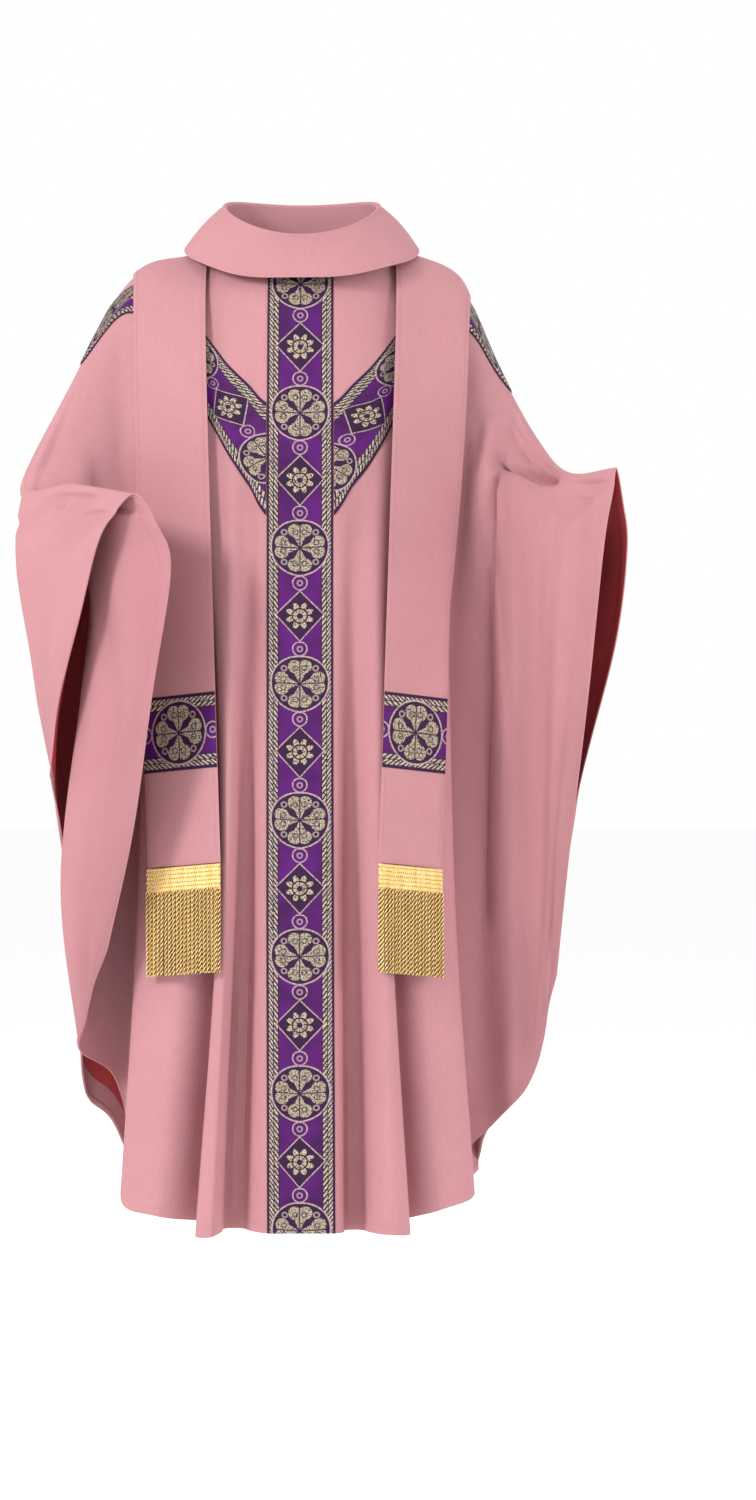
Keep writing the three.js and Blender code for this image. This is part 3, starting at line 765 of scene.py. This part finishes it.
hemSteps = (1.12, 1.0, 0.9, 0.5, 0.12, 0.0)
hemSwell = (0.0, 0.1, 1.0, 1.0, 0.9, 0.35)


def makeCloth(side):
    lines, stations = clothCut["lines"], clothCut["stations"]
    s = spread(0, lines, lines * clothCut["columnsPerLine"], 0.17, hemSteps)
    s[np.argmin(abs(s - 5))] = 5
    t = spread(0, stations, stations * clothCut["rowsPerStation"], 0.033, hemSteps)
    grids = [drape.place(s[:, None], t[None, :]) for drape in drapes[side]]
    count = len(s) * len(t)
    index = np.arange(count).reshape(len(s), len(t))
    backIndex = index + count
    shared = s >= clothCut["neckLine"]
    backIndex[shared, 0] = index[shared, 0]
    faces = [quads(index), quads(backIndex)[:, ::-1]]
    points = np.concatenate([grid[0].reshape(-1, 3) for grid in grids])
    facing = np.concatenate([grid[1].reshape(-1, 3) for grid in grids])
    weave = []
    for layer, outward in ((grids[0][0], 1), (grids[1][0], -1)):
        across = pathLength(layer[None, :, clothCut["measuredRow"]])[0]
        along = pathLength(layer) * outward
        both = np.stack([np.broadcast_to(across[:, None], along.shape), along, along * 0], -1)
        weave.append(both.reshape(-1, 3))
    swell = np.zeros(len(s))
    swell[-len(hemSwell):] = hemSwell
    drop = np.zeros(len(t))
    drop[-len(hemSwell):] = hemSwell
    edge = np.maximum(swell[:, None], drop[None, :])
    edge[-1, :] = hemSwell[-1]
    edge[:, -1] = hemSwell[-1]
    thick = mix(clothCut["thickness"], clothCut["hemThickness"], edge)
    thick = np.concatenate([thick.ravel(), thick.ravel()])
    inner = np.repeat([1, 2], [len(faces[0]), len(faces[1])])  # the back's inside gets the deep red painted shade
    low = np.broadcast_to(t[:-1] > clothCut["facingStation"], (len(s) - 1, len(t) - 1)).ravel()
    inner[len(faces[0]):][low] = 1  # and faced with its own cloth above the hem
    piece = closedSheet("cloth_" + side, points, facing, np.concatenate(faces), np.concatenate(weave),
                        -thick, 0.0, [finishes[key] for key in ("cloth", "inside", "lining")], inner)
    nodes = [part + side for part in ("front_panel_", "front_sleeve_", "back_panel_", "back_sleeve_")]
    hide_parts(*nodes)
    return piece, grids, s


def facingOf(points, toward=None):  # normals of a grid, away from the body unless told otherwise
    if toward is None:
        toward = points - np.array([0, 0.02, 0])
        toward[..., 2] = 0.05
    along = np.gradient(points, axis=1)
    across = np.gradient(points, axis=0)
    normal = unit(np.cross(across, along))
    return normal * (1 if (normal * toward).sum() > 0 else -1)


def pathLength(points):  # metres along the second way of a grid, for each row
    steps = np.linalg.norm(np.diff(points, axis=1), axis=2)
    return np.concatenate([np.zeros((len(points), 1)), np.cumsum(steps, axis=1)], 1)


trimLayer = {
    "bottom": 0.0004,
    "thickness": 0.0012,
    "across": 25,
    "flowerHeight": -0.543,  # one flower of the column is centred here
    "columnTop": 0.04,  # stations below the neck
    "columnRows": 260,
}


def edgeRound(count, least=0.3):  # thins a sheet at its two long edges, so they look turned
    share = np.linspace(0, 1, count)
    near = np.minimum(share, 1 - share) * (count - 1)
    return np.where(near < 0.5, least, np.where(near < 1.5, 0.85, 1.0))


def makeColumn(name, node, left, right):
    half = brocadeCloth["halfWidth"]
    across = np.linspace(-1, 1, trimLayer["across"])
    across = np.sign(across) * abs(across) ** 0.92
    line = abs(across) * half / 0.043
    t = np.linspace(trimLayer["columnTop"], clothCut["stations"], trimLayer["columnRows"])
    sides = [drape.place(line[:, None], t[None, :]) for drape in (right, left)]
    pick = (across >= 0)[:, None, None]
    points = np.where(pick, sides[1][0], sides[0][0])
    facing = np.where(pick, sides[1][1], sides[0][1])
    along = pathLength(points)
    middle = len(across) // 2
    start = np.interp(-trimLayer["flowerHeight"], -points[middle, :, 2], along[middle])
    weave = across[:, None] * half, along - start
    top = trimLayer["bottom"] + trimLayer["thickness"] * edgeRound(len(across))[:, None]
    piece = gridSheet(name, points, facing, weave, trimLayer["bottom"], top, "brocade")
    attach(piece, "root")
    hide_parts(node)
    return piece


armBand = {
    "front": (-0.190, -0.332),  # heights where its two edges leave the column
    "back": (-0.150, -0.292),
    "left": (8.15, 9.3),  # lines between which it crosses the shoulder
    "right": (8.12, 8.85),
    "inner": 0.041 / 0.043 + 0.03,
    "across": 25,
    "along": 110,
    "patternShift": 0.04,
    "lift": 0.0003,
}


def makeArm(side):
    across = np.linspace(0, 1, armBand["across"])[:, None]
    turn = np.linspace(0, math.pi / 2, armBand["along"])[None, :]
    halves = []
    for drape, ends in zip(drapes[side], (armBand["front"], armBand["back"])):
        inner = armBand["inner"]
        outer = mix(*armBand[side], across)
        first, last = (drape.stationAt(inner, height) for height in ends)
        station = mix(first, last, across)
        s = inner + (outer - inner) * np.sin(turn) ** 2
        halves.append(drape.place(s, station * np.cos(turn)))
    points = np.concatenate([halves[0][0], halves[1][0][:, -2::-1]], 1)
    facing = np.concatenate([halves[0][1], halves[1][1][:, -2::-1]], 1)
    along = pathLength(points)
    along = along - along[:, armBand["along"] - 1][:, None]
    half = brocadeCloth["halfWidth"]
    weave = (across * 2 - 1) * half, along + armBand["patternShift"]
    low = trimLayer["bottom"] + armBand["lift"]
    top = low + trimLayer["thickness"] * edgeRound(len(across))[:, None]
    piece = gridSheet("arm_band_" + side, points, facing, weave, low, top, "brocade")
    rideSleeve(piece, side)
    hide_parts(*[part + side for part in ("front_arm_", "back_arm_", "shoulder_arm_")])
    return piece


stoleCut = {
    "lastLine": 8.1,  # the stole hangs against the cloth up to this line, inside the sleeve
    "inner": 0.120,
    "width": 0.093,
    "taper": 0.022,
    "hinge": -0.100,
    "end": -0.7645,
    "turn": {"left": 0.56, "right": 0.0},
    "tilt": 0.009,  # the outer edge hangs this much lower
    "across": 21,
    "levels": 150,
    "lift": 0.0036,
    "clearance": 0.0032,
    "restSamples": (60, 9),  # where it is rested on the cloth, down and across
    "settleSteps": 200,
    "thickness": 0.0015,
    "lining": (-0.0009, -0.0001),
    "backStations": (0.2, 1.25),
    "bandTop": -0.552,
    "bandHeight": 0.094,
    "bandGrid": 31,
}


class StoleHang:
    def __init__(self, side, points):
        self.side = 1 if side == "left" else -1
        self.turn = stoleCut["turn"][side]
        rows, columns = points.shape[:2]
        tree = BVHTree.FromPolygons(points.reshape(-1, 3).tolist(), gridFaces(rows, columns).tolist())
        downSteps, acrossSteps = stoleCut["restSamples"]
        self.levels = np.linspace(stoleCut["hinge"], fringeCut["end"], downSteps)
        shares = np.linspace(0, 1, acrossSteps)
        ends = []
        for z in self.levels:
            row = []
            for x in self.across(shares, z):
                near = []
                for dx, dz in ((0, 0), (0.01, 0), (-0.01, 0), (0, 0.02), (0, -0.02)):
                    hit = tree.ray_cast(Vector((x + dx, -1, z + dz)), Vector((0, 1, 0)), 3)[0]
                    if hit is not None:
                        near.append(hit.y)
                row.append(min(near) if near else 1.0)
            row = np.array(row)
            slope = row[-1] - row[0]
            nearest = (row - slope * shares).min() - stoleCut["clearance"]
            ends.append([nearest, nearest + slope])
        ends = np.array(ends)
        for _ in range(stoleCut["settleSteps"]):  # stiff downwards as well, so it bridges the hollows
            ends[1:-1] = np.minimum(ends[1:-1], (ends[:-2] + ends[2:]) / 2)
        self.ends = ends

    def across(self, u, z):
        drop = np.clip((stoleCut["hinge"] - z) / (stoleCut["hinge"] - stoleCut["end"]), 0, 1)
        turned = np.cos(self.turn * np.minimum(drop * 2, 1))
        inner = stoleCut["inner"] - stoleCut["taper"] * drop
        return self.side * (inner + stoleCut["width"] * turned * u)

    def place(self, u, z):
        u, z = np.broadcast_arrays(u, z)
        tilt = stoleCut["tilt"] * u * smooth((stoleCut["hinge"] - z) / 0.25)
        first, last = (np.interp(-z, -self.levels, self.ends[:, k]) for k in range(2))
        return np.stack([self.across(u, z), mix(first, last, u), z - tilt], -1)


def makeStole(side, hang):
    look = stoleCut
    front, back = drapes[side]
    u = np.linspace(0, 1, look["across"])[:, None]
    reach = look["inner"] + look["width"] * u
    line = front.lineAt(reach, np.zeros_like(u))
    turn = np.linspace(0, math.pi / 2, 90)[None, :]
    station = mix(*look["backStations"], u) * np.cos(turn)
    behind, behindFacing = back.place(np.maximum(line * np.sin(turn), 0.002), station)
    behind = behind + behindFacing * look["lift"]
    bottom = front.stationAt(line, look["hinge"])
    for _ in range(3):  # the line and the station that meet the hinge height at this reach
        bottom = front.stationAt(front.lineAt(reach, bottom), look["hinge"])
    share = np.linspace(0, 1, 30)[None, 1:]
    t = bottom * share
    s = front.lineAt(np.broadcast_to(reach, t.shape), t)
    over, overFacing = front.place(s, t)
    over = over + overFacing * look["lift"]
    z = np.linspace(look["hinge"], look["end"], look["levels"])[None, :]
    hanging = hang.place(u, z)
    gap = hanging[:, :1] - over[:, -1:]
    over = over + gap * smooth(share)[..., None]
    points = np.concatenate([behind, over, hanging[:, 1:]], 1)
    for _ in range(6):  # eases the way from the shoulder to the hanging part
        eased = (points[:, :-2] + points[:, 2:]) / 2
        upper, lower = behind.shape[1] + 4, behind.shape[1] + over.shape[1] + 14
        points[:, upper:lower] = eased[:, upper - 1:lower - 1]
    facing = facingOf(points)
    along = pathLength(points)
    weave = np.broadcast_to(u * look["width"], along.shape), along
    thin = edgeRound(look["across"])[:, None] * look["thickness"]
    thin = np.repeat(thin, along.shape[1], 1)
    thin[:, -1] *= 0.4
    piece = gridSheet("stole_" + side, points, facing, weave, 0.0, thin, "stole")
    rideStole(piece, side)
    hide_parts("stole_neck_" + side, "stole_front_" + side)
    inset = slice(1, -1), slice(behind.shape[1] + over.shape[1] - 1, None)
    lining = gridSheet("stole_lining_piece_" + side, points[inset], facing[inset],
                       [value[inset] for value in weave], *look["lining"], "inside")
    rideStole(lining, side)
    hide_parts("stole_lining_" + side)
    band = makeStoleBand(side, hang)
    return piece, lining, band, points, facing


def makeStoleBand(side, hang):
    look = stoleCut
    count = look["bandGrid"]
    u = np.linspace(0, 1, count)[:, None]
    z = np.linspace(look["bandTop"], look["bandTop"] - look["bandHeight"], count)[None, :]
    points = hang.place(u, z)
    facing = facingOf(points)
    scale = 2 * brocadeCloth["halfWidth"] / look["bandHeight"]
    width = np.linalg.norm(points[-1, 0] - points[0, 0])
    across = (u - 0.5) * width * scale
    up = (z - look["bandTop"] + look["bandHeight"] / 2) * scale
    low = look["thickness"] + 0.0002
    edge = edgeRound(count)
    top = low + trimLayer["thickness"] * np.minimum(edge[:, None], edge[None, :])
    piece = gridSheet("band_on_stole_" + side, points, facing, (up, across), low, top, "brocade")
    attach(piece, "stole_" + side)
    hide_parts("stole_band_" + side)
    return piece


fringeCut = {
    "top": -0.7656,
    "headingEnd": -0.7975,
    "end": -0.9005,
    "headingThickness": 0.0030,
    "headingGrid": (157, 40),
    "knots": 26,  # across the heading
    "knotHeight": 0.0017,
    "rowDepths": (0.0010, 0.0036),
    "strands": 19,  # in each of the two rows
    "strandRadius": 0.0020,
    "rings": 96,  # along one strand
    "turns": 9,
    "sway": 0.009,  # radians
    "sideShade": (1.3, 0.55),  # in the middle of a strand, and less for each radius aside
    "backShade": 0.1,
    "seed": 7,
}


def makeFringe(side, hang):
    look = fringeCut
    across, down = look["headingGrid"]
    rowHeight = goldYarn["eyeRow"]
    u = np.linspace(0, 1, across)[:, None]
    z = np.linspace(look["top"], look["headingEnd"], down)[None, :]
    points = hang.place(u, z)
    facing = facingOf(points)
    rows = np.sin((z - look["top"]) / rowHeight * math.pi)
    stagger = np.floor((look["top"] - z) / rowHeight) * math.pi / 2
    knots = np.sin(u * look["knots"] * math.pi + stagger)
    swell = look["knotHeight"] * abs(rows) * (0.2 + 0.8 * abs(knots))
    top = look["headingThickness"] + np.broadcast_to(swell, points.shape[:2]).copy()
    for edge in (top[0], top[-1], top[:, 0], top[:, -1]):
        edge *= 0.5
    weave = u * stoleCut["width"], z
    heading = gridSheet("fringe_braid_" + side, points, facing, weave, 0.0002, top, "braid")
    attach(heading, "fringe_" + side)
    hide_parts("fringe_heading_" + side)

    seats, drops = [], []
    for row, depth in enumerate(look["rowDepths"]):
        place = (np.arange(look["strands"]) + 0.25 + 0.5 * row) / look["strands"]
        line = hang.place(place, np.full(place.shape, look["headingEnd"] + 0.002))
        low = hang.place(place, np.full(place.shape, look["end"]))
        seats.append(line + facing[across // 2, -1] * depth)
        drops.append(low - line)
    strands = bpy.data.meshes.new("fringe_strands_" + side)
    strands.from_pydata(np.concatenate(seats).tolist(), [], [])
    piece = addObject("fringe_strands_" + side, strands)
    drop = np.concatenate(drops).mean(0)
    growStrands(piece, Vector(drop))
    shadeStrands(piece, np.concatenate(seats), drop)
    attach(piece, "fringe_" + side)
    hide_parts("fringe_skirt_" + side)
    return heading, piece


def growStrands(piece, drop):
    recipe = Recipe("twistedStrands")
    lean = Vector((0, 0, -1)).rotation_difference(drop).to_euler()
    hang = recipe.vector(z=recipe.size("Length", drop.length) * -1)
    leanX = recipe.size("Lean back", lean.x)
    leanY = recipe.size("Lean across", lean.y)
    thick = recipe.size("Strand radius", fringeCut["strandRadius"])
    twist = recipe.size("Turns", fringeCut["turns"] * 2 * math.pi)
    sway = recipe.size("Sway", fringeCut["sway"])
    seed = recipe.size("Seed", fringeCut["seed"], "NodeSocketInt")
    rings = fringeCut["rings"]
    core = recipe.add("CurvePrimitiveLine", {"Start": (0, 0, 0), "End": hang})
    core = recipe.add("ResampleCurve", {"Curve": core, "Count": rings}, {"mode": "COUNT"})
    core = recipe.add("SetCurveTilt", {"Curve": core, "Tilt": recipe.add("InputIndex") * twist / rings})
    plies = []
    for shift in (1, -1):
        ply = recipe.add("CurvePrimitiveCircle", {"Resolution": 7, "Radius": thick * 0.52})
        offset = recipe.vector(thick * (0.62 * shift))
        plies.append(recipe.add("Transform", {"Geometry": ply, "Translation": offset}))
    both = recipe.add("JoinGeometry", {0: plies[0]})
    recipe.tree.links.new(plies[1].socket, both.socket.node.inputs[0])
    strand = recipe.add("CurveToMesh", {"Curve": core, "Profile Curve": both, "Fill Caps": True})
    # the distance from the strand's axis, kept for the painted shade in the yarn finish
    out = length(*recipe.parts(recipe.add("InputPosition"))) / thick
    strand = recipe.add("StoreNamedAttribute", {"Geometry": strand, "Name": "strandShade", "Value": out},
                        {"data_type": "FLOAT", "domain": "POINT"})
    turns = []
    least, most = recipe.vector(leanX - sway, leanY - sway), recipe.vector(leanX + sway, leanY + sway)
    for low, high in ((least, most), ((0, 0, 0), (0, 0, 6.28))):
        turns.append(recipe.make("FunctionNodeRandomValue", {0: low, 1: high, "Seed": seed},
                                 {"data_type": "FLOAT_VECTOR"}))
    row = recipe.add("InstanceOnPoints",
                     {"Points": recipe.shape, "Instance": strand, "Rotation": turns[0]})
    row = recipe.add("RotateInstances", {"Instances": row, "Rotation": turns[1], "Local Space": True})
    recipe.grow(piece, row, finishes["yarn"])
    piece.data.polygons.foreach_set("use_smooth", np.ones(len(piece.data.polygons), bool))


# Painted shade: strands are darker at their sides, and the row behind is darker than the one in front
def shadeStrands(piece, seats, drop):
    mesh = piece.data
    points = np.empty(len(mesh.vertices) * 3, np.float32)
    strandShade = np.empty(len(mesh.vertices), np.float32)
    mesh.vertices.foreach_get("co", points)
    mesh.attributes["strandShade"].data.foreach_get("value", strandShade)
    points = points.reshape(len(seats), -1, 3)
    strandShade = strandShade.reshape(len(seats), -1)
    share = (points[..., 2] - seats[:, None, 2]) / drop[2]
    aside = abs(points[..., 0] - seats[:, None, 0] - drop[0] * share) / fringeCut["strandRadius"]
    middle, fall = fringeCut["sideShade"]
    strandShade = np.minimum(strandShade, middle - fall * aside)
    strandShade[:len(seats) // 2] -= fringeCut["backShade"]
    mesh.attributes["strandShade"].data.foreach_set("value", strandShade.ravel())


collarCut = {
    "seam": (0.112, 0.080, -0.012, 0.026, 0.028),  # half width, half depth, front, side and back heights
    "rim": (0.098, 0.084, 0.024, 0.070, 0.080),
    "edge": (0.147, 0.112, -0.034, 0.014, 0.034),
    "centre": -0.008,
    "roll": 0.0034,
    "bulge": 0.0030,
    "topShare": 0.97,  # where the stand turns over, on the way from seam to rim
    "thickness": 0.0022,
    "turnRadius": 0.125,  # how far round the threads run for one radian
    "around": 220,
}


def ringPoint(ring, angle):
    wide, deep, front, side, back = ring
    swing = (1 - np.cos(angle)) / 2
    height = mix(front, back, swing) + (side - (front + back) / 2) * np.sin(angle) ** 2
    return np.stack([wide * np.sin(angle), collarCut["centre"] - deep * np.cos(angle), height], -1)


def makeCollar():
    look = collarCut
    angle = np.linspace(-math.pi, math.pi, look["around"])[:, None]
    seam, rim, edge = (ringPoint(look[key], angle) for key in ("seam", "rim", "edge"))
    out = unit(np.stack([np.sin(angle), -np.cos(angle), 0.3 + 0 * angle], -1))
    up = np.array([0, 0, 1.0])
    roll = look["roll"]
    stand = np.linspace(0.05, look["topShare"], 22)[None, :, None]
    inner = mix(seam, rim, stand) - out * roll
    turnOver = mix(seam, rim, look["topShare"])
    curve = np.linspace(0, math.pi, 15)[None, 1:-1, None]
    over = turnOver - out * roll * np.cos(curve) + up * roll * 1.1 * np.sin(curve)
    steps = spread(0.0, 1.0, 30, 0.075, hemSteps)
    fall = steps[None, :, None]
    wobble = 0.0016 * np.sin(angle * 3 + 0.7) + 0.0011 * np.sin(angle * 7 + 2.0)
    belly = (look["bulge"] + 0.0012 * np.sin(angle * 4 + 1))[..., None] * np.sin(fall ** 0.85 * math.pi)
    outer = mix(turnOver + out * roll, edge + out * 0.0036, fall) + out * belly
    outer = outer + up * (wobble[..., None] * fall ** 2)
    points = np.concatenate([inner, over, outer], 1)
    facing = facingOf(points, np.concatenate([-out + 0 * inner, up + 0 * over, out + 0 * outer], 1))
    along = pathLength(points)
    thick = np.full(along.shape, look["thickness"] * 0.7)
    thick[:, -len(hemSwell):] = look["thickness"] * (0.62 + 0.6 * np.array(hemSwell))
    thick[:, -1] = look["thickness"] * 0.4
    weave = angle * look["turnRadius"], along
    piece = gridSheet("collar", points, facing, weave, -thick, 0.0, "cloth")
    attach(piece, "root")
    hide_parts("collar_stand", "collar_fall", "collar_interfacing")
    return piece, points, facing


stitchLook = {
    "pitch": 0.0042,
    "length": 0.0030,
    "width": 0.00062,
    "height": 0.0004,
}


# A row of stitches along each path. Every path is a list of points and the way the cloth faces there.
def growStitches(name, paths, material):
    points = np.concatenate([path[0] for path in paths])
    facing = np.concatenate([path[1] for path in paths])
    edges, start = [], 0
    for path in paths:
        edges += [(start + i, start + i + 1) for i in range(len(path[0]) - 1)]
        start += len(path[0])
    mesh = bpy.data.meshes.new(name)
    mesh.from_pydata(points.tolist(), edges, [])
    ways = mesh.attributes.new("facing", "FLOAT_VECTOR", "POINT")
    ways.data.foreach_set("vector", facing.astype(np.float32).ravel())
    piece = addObject(name, mesh)
    recipe = Recipe("stitchRow")
    pitch = recipe.size("Pitch", stitchLook["pitch"])
    long = recipe.size("Stitch length", stitchLook["length"] / 2)
    wide = recipe.size("Stitch width", stitchLook["width"] / 2)
    high = recipe.size("Stitch height", stitchLook["height"] / 2)
    path = recipe.add("MeshToCurve", {0: recipe.shape})
    path = recipe.add("ResampleCurve", {"Curve": path, "Length": pitch}, {"mode": "LENGTH"})
    bead = recipe.add("MeshUVSphere", {"Segments": 6, "Rings": 4, "Radius": 1.0})
    bead = recipe.add("Transform", {"Geometry": bead, "Scale": recipe.vector(long, wide, high)})
    way = recipe.add("InputNamedAttribute", {"Name": "facing"}, {"data_type": "FLOAT_VECTOR"})
    turn = recipe.make("FunctionNodeAxesToRotation", {0: way, 1: recipe.add("InputTangent")},
                       {"primary_axis": "Z", "secondary_axis": "X"})
    row = recipe.add("InstanceOnPoints", {"Points": path, "Instance": bead, "Rotation": turn})
    recipe.grow(piece, row, material)
    return piece


def clothStitches(side, grids):
    inset = -3  # the sample line just inside the turned hem
    paths = []
    for points, facing in grids:
        hem = points[4:inset, -4], facing[4:inset, -4]
        edge = points[-4, 1:inset], facing[-4, 1:inset]
        paths += [hem, edge]
    piece = growStitches("hem_stitches_" + side, paths, finishes["thread"])
    rideSleeve(piece, side)
    return piece


def makeGarment():
    cloths = {}
    for side in ("left", "right"):
        piece, grids, s = makeCloth(side)
        stitches = clothStitches(side, grids)
        rideSleeve(piece, side)
        cloths[side] = grids[0][0][s < stoleCut["lastLine"]]
        makeArm(side)
    print("cloth and arm bands made")
    for face, node, k in (("front", "front_orphrey", 0), ("back", "back_orphrey", 1)):
        column = makeColumn(face + "_column", node, drapes["left"][k], drapes["right"][k])
    print("columns made")
    for side in ("left", "right"):
        hang = StoleHang(side, cloths[side])
        piece, lining, band, points, facing = makeStole(side, hang)
        rows = []
        for k in (1, -2):  # just inside its two long edges
            out = facing[k, 4:-3]
            rows.append((points[k, 4:-3] + out * stoleCut["thickness"], out))
        stitches = growStitches("stole_stitches_" + side, rows, finishes["thread"])
        rideStole(stitches, side)
        heading, strands = makeFringe(side, hang)
        "cloth_" + side
    print("stole and fringes made")
    piece, points, facing = makeCollar()
    stitches = growStitches("collar_stitches", [(points[:, -4], facing[:, -4])], finishes["thread"])
    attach(stitches, "root")
    print("collar made")


finishes = {
    "cloth": clothFinish("roseCloth", "base", "pale", "deep"),
    "stole": clothFinish("stoleCloth", "base", "pale", "deep"),
    "inside": clothFinish("roseInside", "inside", "base", "deep"),
    # painted shade: the back's inside in deep red, as if in shadow
    "lining": clothFinish("paintedShadeInside", "lining", "lining", "paintedShadeDeep"),
    "thread": clothFinish("roseThread", "deep", "base", "deep"),
    "brocade": brocadeFinish("brocade"),
    "yarn": yarnFinish("goldYarn"),
    "braid": yarnFinish("goldBraid", braided=True),
}
setStudio()
makeGarment()
